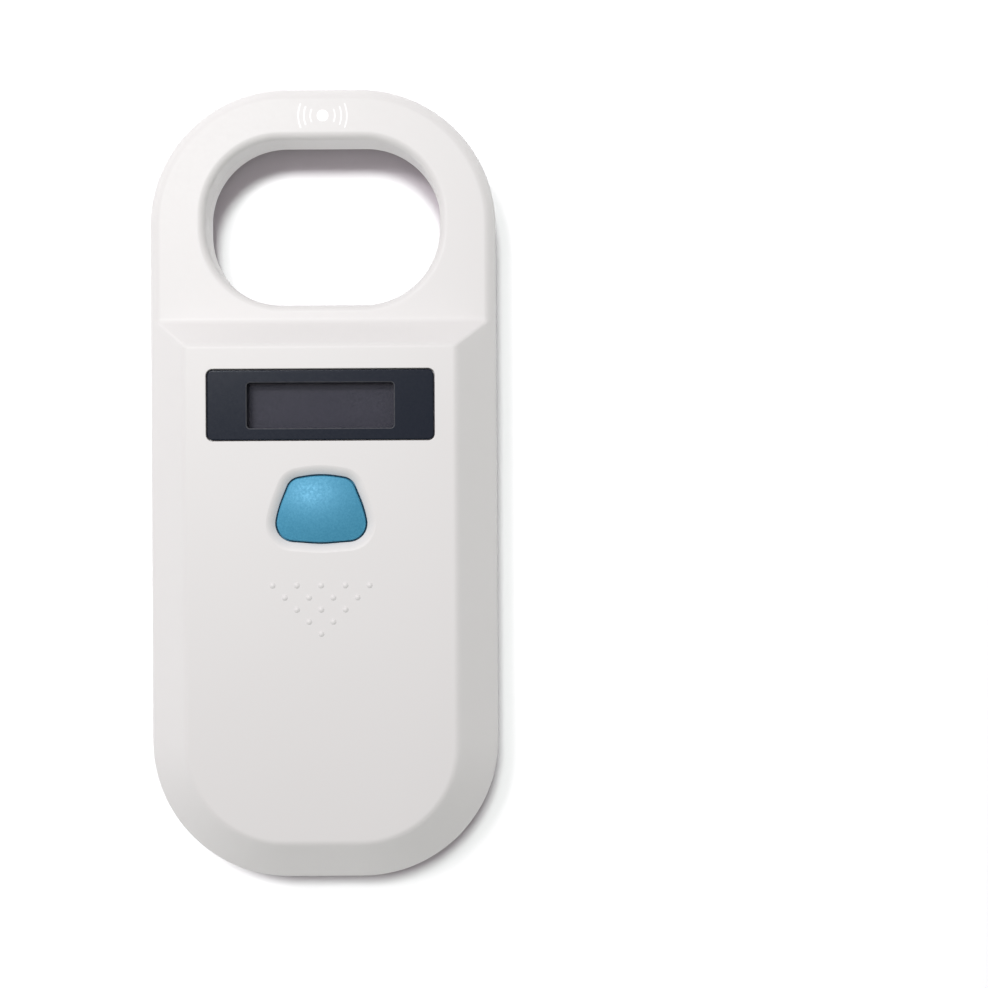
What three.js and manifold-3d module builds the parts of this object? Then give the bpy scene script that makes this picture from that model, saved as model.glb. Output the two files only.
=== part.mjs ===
// A handheld animal microchip scanner, lying on its back: a white housing that ends in an open
// reading ring, with a display window, one blue scan button and the electronics inside.
// Millimetres. +Z points out of the front face, +Y towards the ring, and the origin is at the
// centre of the back face.

import * as THREE from "three";
import { mergeVertices } from "three/addons/utils/BufferGeometryUtils.js";
import Module from "manifold-3d";

const wasm = await Module();
wasm.setup();

// ---------------------------------------------------------------- driving dimensions

const WIDTH = 63.5;
const LENGTH = 144.6;
const THICKNESS = 18;
const CORNER_RADIUS = 25;
const CORNER_STEPS = 9;

const WALL = 2;
const PARTING_Z = 8;
const PARTING_GAP = 0.2;
const BACK_FILLET = 3.5;
const BEVEL_FOOT_Z = 12;
const BEVEL_INSET = 7.24;

// The reading ring's front face lies lower than the handle's, and a cove joins the two.
const DECK_Z = 13.3;
const COVE_START_Y = 30.25;
const COVE_RADIUS = 1.8;
const COVE_ANGLE = THREE.MathUtils.degToRad(45);

const HOLE = { halfW: 21.5, halfH: 15.15, radius: 14.05, y: 47.8 };
const HOLE_WALL = 1.8;
const HOLE_FRONT_FILLET = 1.45;
const HOLE_BACK_FILLET = 5;

const TONGUE_INSET = 1.2;
const TONGUE_FOOT_Z = 6.9;
const REBATE_INSET = 1.0;
const REBATE_FLOOR_Z = 6.7;

// The display, from the front: black bezel plate, clear lens, gasket, panel, foam pad.
const BEZEL_POCKET = { halfW: 20.6, halfH: 6.5, radius: 1.2, y: 14.05 };
const BEZEL_CLEARANCE = 0.2;
const BEZEL_Z = [16.45, 17.9];
const LENS_OPENING = { halfW: 19.6, halfH: 5.65, radius: 1, y: 14.05 };
const LENS = { halfW: 19.2, halfH: 5.25, radius: 0.8, y: 14.05 };
const LENS_Z = [14.95, 16.4];
const VIEW = { halfW: 13.25, halfH: 4.1, radius: 0.6, y: 13.95 };
const OLED = { x: 0.8, y: 13.95, w: 30, l: 11.5, z: [12.85, 14.25] };
const GASKET_WIDTH = 0.9;

// The scan button is a rounded trapezium, narrow end towards the display.
const BUTTON_CORNERS = [
  [8.7, -10.15, 3.1],
  [7.55, -4.6, 20],
  [5.45, 0.6, 2.5],
  [0, 1.5, 17],
  [-5.45, 0.6, 2.5],
  [-7.55, -4.6, 20],
  [-8.7, -10.15, 3.1],
  [0, -10.8, 22],
];
const BUTTON_CENTRE_Y = -4.9;
const BUTTON_GAP = 0.3;
const BUTTON_TOP_Z = 18.5;
const BUTTON_DOME_RADIUS = 30;
const BUTTON_DOME_SQUEEZE = 0.82;
const BUTTON_FLANGE = 1.2;
const BUTTON_FLANGE_Z = [14.6, 15.6];
const DISH_WIDTH = 1.6;
const DISH_DEPTH = 0.9;

const DOT_PITCH_X = 4.37;
const DOT_PITCH_Y = 2.18;
const DOT_TOP_Y = -18.5;
const DOT_ROWS = 5;
const DOT_RADIUS = 0.55;
const DOT_HEIGHT = 0.3;

const BOARD_Z = [8.8, 10.4];
const BOARD_GAP = 0.05;
const SWITCH_TOP_Z = 13.6;
const PLUNGER_TOP_Z = 15;

const CASE_SCREWS = [[24, 21], [-24, 21], [24, -50], [-24, -50]];
const CASE_BOSS_RADIUS = 3;
const CASE_PILOT_RADIUS = 1.3;
const CASE_HEAD_SEAT_Z = 3.2;
const BOARD_SCREWS = [[17, 22], [-17, 22], [17, -34], [-17, -34]];
const BOARD_BOSS_RADIUS = 2.2;
const BOARD_PILOT_RADIUS = 1;

const BATTERY = { y: -38, w: 34, l: 48, z: [2.35, 7.35] };
const USB = { halfW: 3.75, z: [6.3, 8.75], mouthY: -71.5, backY: -66 };
const USB_PORT = { halfW: 4.3, halfH: 1.75, radius: 1.2, z: 7.5 };
const LABEL = { halfW: 19, halfH: 23, radius: 2, y: -15 };
const LABEL_RECESS = 0.25;

const PLASTIC_OUTLINE = { halfW: WIDTH / 2, halfH: LENGTH / 2, radius: CORNER_RADIUS };

// ---------------------------------------------------------------- materials

function material(colour, roughness, metalness = 0) {
  return new THREE.MeshStandardMaterial({ color: colour, roughness, metalness });
}

const WHITE_ABS = material(0xebe8e8, 0.45);
const BLUE_ABS = material(0x4da3c8, 0.4);
const BLACK_PLASTIC = material(0x2c303a, 0.35);
const CLEAR_ACRYLIC = material(0xcfd6dc, 0.05);
CLEAR_ACRYLIC.transparent = true;
CLEAR_ACRYLIC.opacity = 0.35;
const OLED_GLASS = material(0x4a4752, 0.3);
const FOAM = material(0x202226, 0.95);
const BOARD_GREEN = material(0x1f6b45, 0.5);
const CHIP_BLACK = material(0x1b1c1f, 0.55);
const STEEL = material(0xb4b6ba, 0.3, 1);
const COPPER = material(0xb4682c, 0.35, 1);
const FOIL = material(0xc3c6cb, 0.35, 0.8);
const AMBER_FILM = material(0xb0702a, 0.4);
const CREAM_NYLON = material(0xe9e2cc, 0.5);
const RED_WIRE = material(0xb3221e, 0.5);
const BLACK_WIRE = material(0x18191b, 0.5);
const LABEL_FILM = material(0xd9dbde, 0.35);

// ---------------------------------------------------------------- outlines

// Points of a rectangle with round corners, counter-clockwise; grow moves every side outwards.
function roundRect({ halfW, halfH, radius, x = 0, y = 0 }, grow = 0, steps = CORNER_STEPS) {
  const points = [];
  const corners = [[1, 1], [-1, 1], [-1, -1], [1, -1]];
  corners.forEach(([sideX, sideY], corner) => {
    for (let step = 0; step <= steps; step++) {
      const angle = (corner + step / steps) * (Math.PI / 2);
      points.push(new THREE.Vector2(
        x + sideX * (halfW - radius) + (radius + grow) * Math.cos(angle),
        y + sideY * (halfH - radius) + (radius + grow) * Math.sin(angle),
      ));
    }
  });
  return points;
}

// Points of a convex polygon with an own radius at each corner [x, y, radius], counter-clockwise.
function roundPolygon(corners, grow = 0, steps = 5) {
  const count = corners.length;
  return corners.flatMap(([x, y, radius], i) => {
    const corner = new THREE.Vector2(x, y);
    const [before, after] = [corners[(i + count - 1) % count], corners[(i + 1) % count]];
    const along = corner.clone().sub(new THREE.Vector2(before[0], before[1])).normalize();
    const away = new THREE.Vector2(after[0], after[1]).sub(corner).normalize();
    const turn = Math.acos(along.dot(away));
    const back = radius * Math.tan(turn / 2);
    const inward = new THREE.Vector2(-along.y, along.x);
    const centre = corner.clone().addScaledVector(along, -back).addScaledVector(inward, radius);
    const start = Math.atan2(-inward.y, -inward.x);
    return Array.from({ length: steps + 1 }, (_, step) => new THREE.Vector2(
      centre.x + (radius + grow) * Math.cos(start + (turn * step) / steps),
      centre.y + (radius + grow) * Math.sin(start + (turn * step) / steps),
    ));
  });
}

// ---------------------------------------------------------------- solids

// A closed three.js geometry as a solid that can be joined and cut.
function solid(geometry) {
  const bare = new THREE.BufferGeometry();
  bare.setAttribute("position", geometry.getAttribute("position"));
  bare.setIndex(geometry.index);
  const merged = mergeVertices(bare, 1e-4);
  return new wasm.Manifold(new wasm.Mesh({
    numProp: 3,
    vertProperties: merged.getAttribute("position").array,
    triVerts: new Uint32Array(merged.index.array),
  }));
}

function geometryOf(body) {
  const mesh = body.getMesh();
  const geometry = new THREE.BufferGeometry();
  geometry.setAttribute("position", new THREE.BufferAttribute(mesh.vertProperties, 3));
  geometry.setIndex(new THREE.BufferAttribute(mesh.triVerts, 1));
  geometry.computeVertexNormals();
  return geometry;
}

const join = (...bodies) => bodies.reduce((whole, body) => whole.add(body));
const cut = (body, ...tools) => tools.reduce((left, tool) => left.subtract(tool), body);

// A skin through outlines at rising heights, closed by a flat cap at each end.
function loft(levels) {
  const count = levels[0].points.length;
  const positions = levels.flatMap(({ points, z }) => points.flatMap((p) => [p.x, p.y, z]));
  const index = [];
  for (let level = 0; level + 1 < levels.length; level++) {
    for (let i = 0; i < count; i++) {
      const a = level * count + i;
      const b = level * count + ((i + 1) % count);
      index.push(a, b, b + count, a, b + count, a + count);
    }
  }
  const cap = (level, facesUp) => {
    const { points } = levels[level];
    THREE.ShapeUtils.triangulateShape(points, []).forEach(([i, j, k]) => {
      const isUp = THREE.ShapeUtils.area([points[i], points[j], points[k]]) > 0;
      const corners = isUp === facesUp ? [i, j, k] : [k, j, i];
      index.push(...corners.map((corner) => corner + level * count));
    });
  };
  cap(0, false);
  cap(levels.length - 1, true);
  const geometry = new THREE.BufferGeometry();
  geometry.setAttribute("position", new THREE.Float32BufferAttribute(positions, 3));
  geometry.setIndex(index);
  return solid(geometry);
}

const plate = (points, z0, z1) => loft([{ points, z: z0 }, { points, z: z1 }]);

function box([x0, x1], [y0, y1], [z0, z1]) {
  const geometry = new THREE.BoxGeometry(x1 - x0, y1 - y0, z1 - z0);
  geometry.translate((x0 + x1) / 2, (y0 + y1) / 2, (z0 + z1) / 2);
  return solid(geometry);
}

const block = (x, y, w, l, z) => box([x - w / 2, x + w / 2], [y - l / 2, y + l / 2], z);

// A round body about a vertical axis through (x, y), from [radius, z] points of its profile.
function turned(x, y, profile, segments = 16) {
  const points = profile.map(([radius, z]) => new THREE.Vector2(radius, z));
  const geometry = new THREE.LatheGeometry(points, segments);
  geometry.rotateX(Math.PI / 2);
  geometry.translate(x, y, 0);
  return solid(geometry);
}

const rod = (x, y, radius, z0, z1, segments = 16) =>
  turned(x, y, [[0, z0], [radius, z0], [radius, z1], [0, z1]], segments);

// A flat shape drawn in Y and Z, pushed along X from x0 to x1.
function sideways(shape, x0, x1) {
  const geometry = new THREE.ExtrudeGeometry(shape, {
    depth: x1 - x0,
    bevelEnabled: false,
    curveSegments: 6,
  });
  const [toX, toY, toZ] = [[1, 0, 0], [0, 1, 0], [0, 0, 1]].map((v) => new THREE.Vector3(...v));
  geometry.applyMatrix4(new THREE.Matrix4().makeBasis(toY, toZ, toX));
  geometry.translate(x0, 0, 0);
  return solid(geometry);
}

// A round wire along a smooth curve through the given points.
function wire(points, diameter, steps) {
  const section = new THREE.Shape().absarc(0, 0, diameter / 2, 0, 2 * Math.PI, false);
  const path = new THREE.CatmullRomCurve3(points.map((p) => new THREE.Vector3(...p)));
  return solid(new THREE.ExtrudeGeometry(section, { steps, curveSegments: 3, extrudePath: path }));
}

// ---------------------------------------------------------------- the housing's form

const quarter = (steps) => Array.from({ length: steps + 1 }, (_, i) => (i / steps) * (Math.PI / 2));

const outline = (inset, z) => ({ points: roundRect(PLASTIC_OUTLINE, -inset), z });
const holeLevel = (outset, z) => ({ points: roundRect(HOLE, outset), z });

// Everything below the front surface as seen from the side: handle face, cove and ring deck.
function underFront(deckZ, coveRadius) {
  const shape = new THREE.Shape();
  const reach = LENGTH;
  const height = 2 * THICKNESS;
  const coveTopY = COVE_START_Y - coveRadius * Math.sin(COVE_ANGLE);
  const coveTopZ = deckZ + coveRadius * (1 - Math.cos(COVE_ANGLE));
  shape.moveTo(-reach, -height);
  shape.lineTo(reach, -height);
  shape.lineTo(reach, deckZ);
  shape.absarc(
    COVE_START_Y, deckZ + coveRadius, coveRadius, -Math.PI / 2, -Math.PI / 2 - COVE_ANGLE, true,
  );
  shape.lineTo(coveTopY - (height - coveTopZ) / Math.tan(COVE_ANGLE), height);
  shape.lineTo(-reach, height);
  return sideways(shape, -WIDTH, WIDTH);
}

function outerForm() {
  const back = quarter(4).map((a) =>
    outline(BACK_FILLET * (1 - Math.sin(a)), BACK_FILLET * (1 - Math.cos(a))));
  const body = loft([...back, outline(0, BEVEL_FOOT_Z), outline(BEVEL_INSET, THICKNESS)]);
  return body.intersect(underFront(DECK_Z, COVE_RADIUS));
}

function ringHole() {
  const back = quarter(4).map((a) =>
    holeLevel(HOLE_BACK_FILLET * (1 - Math.sin(a)), HOLE_BACK_FILLET * (1 - Math.cos(a))));
  const front = quarter(3).map((a) => holeLevel(
    HOLE_FRONT_FILLET * (1 - Math.cos(a)),
    DECK_Z - HOLE_FRONT_FILLET * (1 - Math.sin(a)),
  ));
  return loft([
    holeLevel(HOLE_BACK_FILLET, -1),
    ...back,
    ...front,
    holeLevel(HOLE_FRONT_FILLET, THICKNESS),
  ]);
}

// The space inside the walls, without the island that carries the ring's hole.
function cavity() {
  const slope = (THICKNESS - BEVEL_FOOT_Z) / BEVEL_INSET;
  const drop = WALL * Math.sqrt(1 + slope * slope);
  const ceilingInset = (THICKNESS - WALL - BEVEL_FOOT_Z + drop) / slope;
  const inside = loft([
    outline(WALL + 1.5, WALL),
    outline(WALL, WALL + 1.5),
    outline(WALL, BEVEL_FOOT_Z + WALL * slope - drop),
    outline(ceilingInset, THICKNESS - WALL),
  ]);
  const island = plate(roundRect(HOLE, HOLE_WALL), 0, THICKNESS);
  return cut(inside.intersect(underFront(DECK_Z - WALL, COVE_RADIUS + WALL)), island);
}

const half = (z0, z1) => box([-WIDTH, WIDTH], [-LENGTH, LENGTH], [z0, z1]);

// The charging port's round-cornered opening through the lower end wall.
function usbPort() {
  const port = { halfW: USB_PORT.halfW, halfH: USB_PORT.halfH, radius: USB_PORT.radius };
  const shape = new THREE.Shape(roundRect(port, 0, 5));
  const geometry = new THREE.ExtrudeGeometry(shape, { depth: 8, bevelEnabled: false });
  geometry.rotateX(Math.PI / 2);
  geometry.translate(0, -LENGTH / 2 + 5, USB_PORT.z);
  return solid(geometry);
}

// Rounded domes in a triangle that points to the lower end, under the button.
function tactileDots() {
  const dots = [];
  for (let row = 0; row < DOT_ROWS; row++) {
    const count = DOT_ROWS - row;
    for (let i = 0; i < count; i++) {
      const x = (i - (count - 1) / 2) * DOT_PITCH_X;
      const y = DOT_TOP_Y - row * DOT_PITCH_Y;
      const profile = [
        [0, THICKNESS - 0.4],
        [DOT_RADIUS, THICKNESS - 0.4],
        [DOT_RADIUS, THICKNESS],
        [DOT_RADIUS * 0.7, THICKNESS + DOT_HEIGHT * 0.75],
        [0, THICKNESS + DOT_HEIGHT],
      ];
      dots.push(turned(x, y, profile, 8));
    }
  }
  return join(...dots);
}

function buttonDish() {
  const level = (grow, z) => ({ points: roundPolygon(BUTTON_CORNERS, grow), z });
  return loft([
    level(BUTTON_GAP, THICKNESS - WALL - 1),
    level(BUTTON_GAP, THICKNESS - DISH_DEPTH),
    level(BUTTON_GAP + DISH_WIDTH * 0.45, THICKNESS - DISH_DEPTH * 0.75),
    level(BUTTON_GAP + DISH_WIDTH, THICKNESS),
    level(BUTTON_GAP + DISH_WIDTH, THICKNESS + 1),
  ]);
}

// ---------------------------------------------------------------- shells

function frontShell(outer, space) {
  const lowest = PARTING_Z + PARTING_GAP / 2;
  const skin = cut(outer.intersect(half(lowest, 2 * THICKNESS)), space);
  const tongue = cut(
    plate(roundRect(PLASTIC_OUTLINE, -TONGUE_INSET), TONGUE_FOOT_Z, lowest + 0.5),
    plate(roundRect(PLASTIC_OUTLINE, -WALL), 0, THICKNESS),
  );
  const bosses = join(
    ...CASE_SCREWS.map(([x, y]) => rod(x, y, CASE_BOSS_RADIUS, lowest, THICKNESS)),
    ...BOARD_SCREWS.map(([x, y]) => rod(x, y, BOARD_BOSS_RADIUS, BOARD_Z[1] + BOARD_GAP, THICKNESS)),
    plate(roundRect(BEZEL_POCKET, 1.2, 4), BEZEL_Z[0] - 1.25, THICKNESS),
    ...[-48, -62].map((y) => block(0, y, 34, 1.2, [THICKNESS - WALL - 2.2, THICKNESS - 1])),
  );
  const inside = half(lowest, THICKNESS - 0.5).intersect(outer);
  const pilots = [
    ...CASE_SCREWS.map(([x, y]) => rod(x, y, CASE_PILOT_RADIUS, 0, 14.2, 16)),
    ...BOARD_SCREWS.map(([x, y]) => rod(x, y, BOARD_PILOT_RADIUS, 0, 15.4, 16)),
  ];
  return cut(
    join(skin, tongue, bosses.intersect(inside), tactileDots()),
    ...pilots,
    plate(roundRect(BEZEL_POCKET, 0, 4), BEZEL_Z[0] - 0.05, 2 * THICKNESS),
    plate(roundRect(LENS_OPENING, 0, 4), 10, THICKNESS),
    buttonDish(),
    usbPort(),
  );
}

function rearShell(outer, space) {
  const highest = PARTING_Z - PARTING_GAP / 2;
  const skin = cut(outer.intersect(half(-1, highest)), space);
  const bosses = CASE_SCREWS.map(([x, y]) => rod(x, y, CASE_BOSS_RADIUS + 0.2, WALL / 2, highest));
  const rails = [-1, 1].map((side) => block(side * 18.6, -39, 1.2, 42, [WALL - 0.5, 5.5]));
  const stops = [
    block(0, -63.2, 20, 1.2, [WALL - 0.5, 5.8]),
    block(0, -9.4, 20, 1.2, [WALL - 0.5, 3.6]),
  ];
  const coilRests = [
    block(-16, 66.6, 1.2, 4, [WALL - 0.5, 3]),
    block(16, 66.6, 1.2, 4, [WALL - 0.5, 3]),
    block(-25.8, 47.8, 4.5, 1.2, [WALL - 0.5, 3]),
    block(25.8, 47.8, 4.5, 1.2, [WALL - 0.5, 3]),
    block(0, 28.6, 1.2, 4.2, [WALL - 0.5, 3]),
  ];
  const headSeats = CASE_SCREWS.map(([x, y]) => turned(x, y, [
    [0, -1],
    [2.7, -1],
    [2.7, 0],
    [2.5, 0.3],
    [2.5, CASE_HEAD_SEAT_Z],
    [0, CASE_HEAD_SEAT_Z],
  ]));
  return cut(
    join(skin, ...bosses, ...rails, ...stops, ...coilRests),
    ...headSeats,
    ...CASE_SCREWS.map(([x, y]) => rod(x, y, 1.4, 0, THICKNESS, 16)),
    cut(
      plate(roundRect(PLASTIC_OUTLINE, -REBATE_INSET), REBATE_FLOOR_Z, THICKNESS),
      plate(roundRect(PLASTIC_OUTLINE, -WALL), 0, 2 * THICKNESS),
    ),
    plate(roundRect(LABEL, 0.25, 4), -1, LABEL_RECESS),
    usbPort(),
  );
}

// ---------------------------------------------------------------- display

// The black plate around the view opening, flush with the front face and chamfered at the opening.
function displayBezel() {
  const view = loft([
    { points: roundRect(VIEW, 0, 3), z: BEZEL_Z[0] - 1 },
    { points: roundRect(VIEW, 0, 3), z: BEZEL_Z[1] - 0.2 },
    { points: roundRect(VIEW, 0.2, 3), z: BEZEL_Z[1] },
    { points: roundRect(VIEW, 0.2, 3), z: BEZEL_Z[1] + 1 },
  ]);
  return cut(plate(roundRect(BEZEL_POCKET, -BEZEL_CLEARANCE, 4), ...BEZEL_Z), view);
}

const displayLens = () => plate(roundRect(LENS, 0, 4), ...LENS_Z);

function displayGasket() {
  const panel = { halfW: OLED.w / 2, halfH: OLED.l / 2, radius: 1, x: OLED.x, y: OLED.y };
  const [low, high] = [OLED.z[1] + 0.03, LENS_Z[0] - 0.03];
  return cut(
    plate(roundRect(panel, 0.2, 3), low, high),
    plate(roundRect(panel, -GASKET_WIDTH + 0.2, 3), 0, THICKNESS),
  );
}

// The ribbon leaves the panel's right end, turns under it and lies on the board.
function oledFlex() {
  const right = OLED.x + OLED.w / 2;
  const film = 0.3;
  const [low, high] = [BOARD_Z[1] + BOARD_GAP, OLED.z[0] + 0.5];
  const bend = (high - low) / 2;
  const shape = new THREE.Shape();
  shape.moveTo(right + 0.1, high);
  shape.lineTo(right + 0.1, high - film);
  shape.absarc(right + 0.2, low + bend, bend - film, Math.PI / 2, -Math.PI / 2, true);
  shape.lineTo(right - 1.6, low + film);
  shape.lineTo(right - 1.6, low);
  shape.absarc(right + 0.2, low + bend, bend, -Math.PI / 2, Math.PI / 2, false);
  const geometry = new THREE.ExtrudeGeometry(shape, { depth: 8, bevelEnabled: false, curveSegments: 8 });
  geometry.rotateX(Math.PI / 2);
  geometry.translate(0, OLED.y + 4, 0);
  return solid(geometry);
}

// ---------------------------------------------------------------- button and switch

// A cap domed by a large ball, with a flange under the housing and a stem that meets the switch.
function scanButton() {
  const dome = Array.from({ length: 6 }, (_, i) => {
    const angle = THREE.MathUtils.degToRad(22 - i * 4.4);
    const drop = BUTTON_DOME_RADIUS * (1 - Math.cos(angle));
    return [BUTTON_DOME_RADIUS * Math.sin(angle), BUTTON_TOP_Z - drop];
  });
  const ball = turned(0, 0, [[0, 0], [dome[0][0], 0], ...dome], 32)
    .scale([1, BUTTON_DOME_SQUEEZE, 1])
    .translate([0, BUTTON_CENTRE_Y, 0]);
  const cap = plate(roundPolygon(BUTTON_CORNERS), BUTTON_FLANGE_Z[0], THICKNESS + 2).intersect(ball);
  const flange = plate(roundPolygon(BUTTON_CORNERS, BUTTON_FLANGE), ...BUTTON_FLANGE_Z);
  const hollow = plate(roundPolygon(BUTTON_CORNERS, -1.4), 0, BUTTON_FLANGE_Z[1]);
  const stem = rod(0, BUTTON_CENTRE_Y, 2.4, PLUNGER_TOP_Z, BUTTON_TOP_Z - 1);
  return join(cut(join(cap, flange), hollow), stem);
}

function switchBase() {
  const y = BUTTON_CENTRE_Y;
  const legs = [[-1, -1], [1, -1], [-1, 1], [1, 1]].map(([sideX, sideY]) =>
    block(sideX * 3.3, y + sideY * 2.2, 1.4, 0.8, [BOARD_Z[1] + BOARD_GAP, BOARD_Z[1] + 0.4]));
  const body = block(0, y, 6, 6, [BOARD_Z[1] + BOARD_GAP, SWITCH_TOP_Z]);
  return cut(join(body, ...legs), rod(0, y, 1.95, 12.3, THICKNESS));
}

const switchCover = () => cut(
  block(0, BUTTON_CENTRE_Y, 5.8, 5.8, [SWITCH_TOP_Z + 0.03, SWITCH_TOP_Z + 0.25]),
  rod(0, BUTTON_CENTRE_Y, 1.95, 0, THICKNESS, 16),
);

const switchPlunger = () => turned(0, BUTTON_CENTRE_Y, [
  [0, 12.9],
  [1.8, 12.9],
  [1.8, 13.5],
  [1.75, 14.8],
  [1.55, PLUNGER_TOP_Z - 0.02],
  [0, PLUNGER_TOP_Z - 0.02],
], 16);

// ---------------------------------------------------------------- board and its components

function mainBoard() {
  const corners = [
    [19.5, 24, 2],
    [-19.5, 24, 2],
    [-19.5, -51, 10],
    [-10.5, -69.2, 4],
    [10.5, -69.2, 4],
    [19.5, -51, 10],
  ];
  const holes = BOARD_SCREWS.map(([x, y]) => rod(x, y, 1.1, 0, THICKNESS, 16));
  return cut(plate(roundPolygon(corners), ...BOARD_Z), ...holes);
}

const onBoard = (height) => [BOARD_Z[1] + BOARD_GAP, BOARD_Z[1] + BOARD_GAP + height];
const underBoard = (height) => [BOARD_Z[0] - BOARD_GAP - height, BOARD_Z[0] - BOARD_GAP];

// A moulded chip with flat leads along its two long sides, which run along Y.
function chip(x, y, w, l, height, leads) {
  const [foot, top] = onBoard(height);
  const pitch = (l - 1) / (leads - 1);
  const pins = Array.from({ length: leads }, (_, i) =>
    block(x, y - (l - 1) / 2 + i * pitch, w + 2, 0.4, [foot, foot + height * 0.45]));
  return join(block(x, y, w, l, [foot + 0.1, top]), ...pins);
}

function crystal() {
  const pads = [-3.2, 3.2].map((dx) => block(7.5 + dx, -37.5, 1.2, 1.2, onBoard(0.6)));
  const points = roundRect({ halfW: 4, halfH: 1.6, radius: 1.5, x: 7.5, y: -37.5 }, 0, 5);
  return join(plate(points, BOARD_Z[1] + 0.3, BOARD_Z[1] + 2.6), ...pads);
}

const filmCapacitor = () => loft([0, 0.3, 4.4, 4.9].map((height, i) => ({
  points: roundRect({ halfW: 1.5, halfH: 3.7, radius: 0.6, x: -13.5, y: -15 }, i === 3 ? -0.4 : 0, 2),
  z: BOARD_Z[1] + BOARD_GAP + height,
})));

const bulkCapacitor = () => {
  const [foot, top] = onBoard(5.2);
  return turned(12, -42.5, [
    [0, foot],
    [2.5, foot],
    [2.5, foot + 0.9],
    [2.3, foot + 1.2],
    [2.5, foot + 1.5],
    [2.5, top - 0.3],
    [2.2, top],
    [0, top],
  ]);
};

const powerInductor = () => {
  const [foot, top] = onBoard(2.8);
  return turned(-11, -40.5, [
    [0, foot],
    [3, foot],
    [3, foot + 0.6],
    [2.4, foot + 0.9],
    [2.4, top - 0.7],
    [3, top - 0.5],
    [3, top],
    [0, top],
  ]);
};

const buzzer = () => {
  const [foot, top] = onBoard(4.8);
  return turned(12.2, -20.5, [
    [0, foot],
    [4.6, foot],
    [4.8, foot + 0.4],
    [4.8, top - 0.4],
    [4.4, top],
    [1, top],
    [1, top - 1.6],
    [0, top - 1.6],
  ], 24);
};

const radioBoard = () => block(2, -55.5, 12, 17, onBoard(0.8));
const radioChip = () => block(2, -53, 4, 4, [BOARD_Z[1] + 0.9, BOARD_Z[1] + 1.75]);

// ---------------------------------------------------------------- charging socket

function usbShell() {
  const [low, high] = USB.z;
  const outside = box([-USB.halfW, USB.halfW], [USB.mouthY, USB.backY], [low, high]);
  const inside = box(
    [-USB.halfW + 0.3, USB.halfW - 0.3],
    [USB.mouthY - 1, USB.backY - 0.4],
    [low + 0.3, high - 0.3],
  );
  const corners = [-1, 1].map((side) => {
    const corner = block(0, 0, 1.2, 8, [-0.6, 0.6]).rotate([0, 45, 0]);
    return corner.translate([side * USB.halfW, (USB.mouthY + USB.backY) / 2, low]);
  });
  const ears = [-1, 1].map((side) =>
    block(side * (USB.halfW + 0.5), USB.backY - 1.6, 1.4, 1.4, [high - 0.4, high]));
  return join(cut(outside, ...corners, inside), ...ears);
}

function usbTongue() {
  const [low, high] = USB.z;
  const middle = (low + high) / 2 + 0.25;
  const blade = box([-1.9, 1.9], [USB.mouthY + 0.6, USB.backY - 1.2], [middle, middle + 0.6]);
  const root = box([-3.2, 3.2], [USB.backY - 1.4, USB.backY - 0.5], [low + 0.4, high - 0.4]);
  return join(blade, root);
}

// ---------------------------------------------------------------- battery

const batteryCell = () => {
  const pouch = { halfW: BATTERY.w / 2, halfH: BATTERY.l / 2, radius: 1.8, y: BATTERY.y };
  const [low, high] = BATTERY.z;
  return loft([
    { points: roundRect(pouch, -0.8, 4), z: low },
    { points: roundRect(pouch, 0, 4), z: low + 0.8 },
    { points: roundRect(pouch, 0, 4), z: high - 0.8 },
    { points: roundRect(pouch, -0.8, 4), z: high },
  ]);
};

const batteryTape = () => block(0, BATTERY.y, 28, 40, [WALL + 0.03, BATTERY.z[0] - 0.03]);
const cellGuardBoard = () => block(0, BATTERY.y + BATTERY.l / 2 + 1.6, 28, 2.4, [4.2, 5.2]);

// The board's socket for the battery lead opens towards the battery.
const batteryHeader = () => cut(
  block(10, 3, 8, 6, underBoard(4.4)),
  box([6.7, 13.3], [-1, 4.6], [5.1, 8]),
);

const batteryPlug = () => join(
  box([7, 13], [-1.6, 4.3], [5.3, 7.7]),
  box([8.6, 11.4], [-1.6, 3], [5.0 + 0.15, 5.4]),
);

function batteryWire(side) {
  const x = 10 + side * 1.2;
  return wire([
    [x, -1.75, 6.5],
    [x, -4.2, 6.4],
    [x - 1.4, -6.6, 5.7],
    [x - 3, -8.4, 5.2],
    [x - 3.6, -10.2, 4.9],
    [x - 3.7, -11, 4.8],
  ], 1, 10);
}

// ---------------------------------------------------------------- reader coil

// A flanged ring of rectangular section around the ring's hole.
const hoop = (inner, outer, z0, z1) => cut(
  plate(roundRect(HOLE, outer), z0, z1),
  plate(roundRect(HOLE, inner), z0 - 1, z1 + 1),
);

const coilFormer = () => cut(hoop(2.3, 6.4, 3.1, 9.9), hoop(3.1, 8, 3.9, 9.1));

function readerCoil() {
  const [inner, outer, low, high] = [3.15, 5.9, 3.95, 9.05];
  const belly = 0.35;
  const skin = loft([
    holeLevel(outer - belly, low),
    holeLevel(outer, low + 0.9),
    holeLevel(outer, high - 0.9),
    holeLevel(outer - belly, high),
  ]);
  return cut(skin, plate(roundRect(HOLE, inner), 0, THICKNESS));
}

const coilLead = (side) => wire([
  [side * 2.5, 26.5, 7.8],
  [side * 2.5, 25.9, 8.4],
  [side * 2.5, 25.2, 9.8],
  [side * 2.5, 24.4, 11.1],
  [side * 2.5, 23.2, 11.4],
  [side * 2.5, 22.2, 10.85],
], 0.6, 9);

// ---------------------------------------------------------------- screws and label

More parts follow.
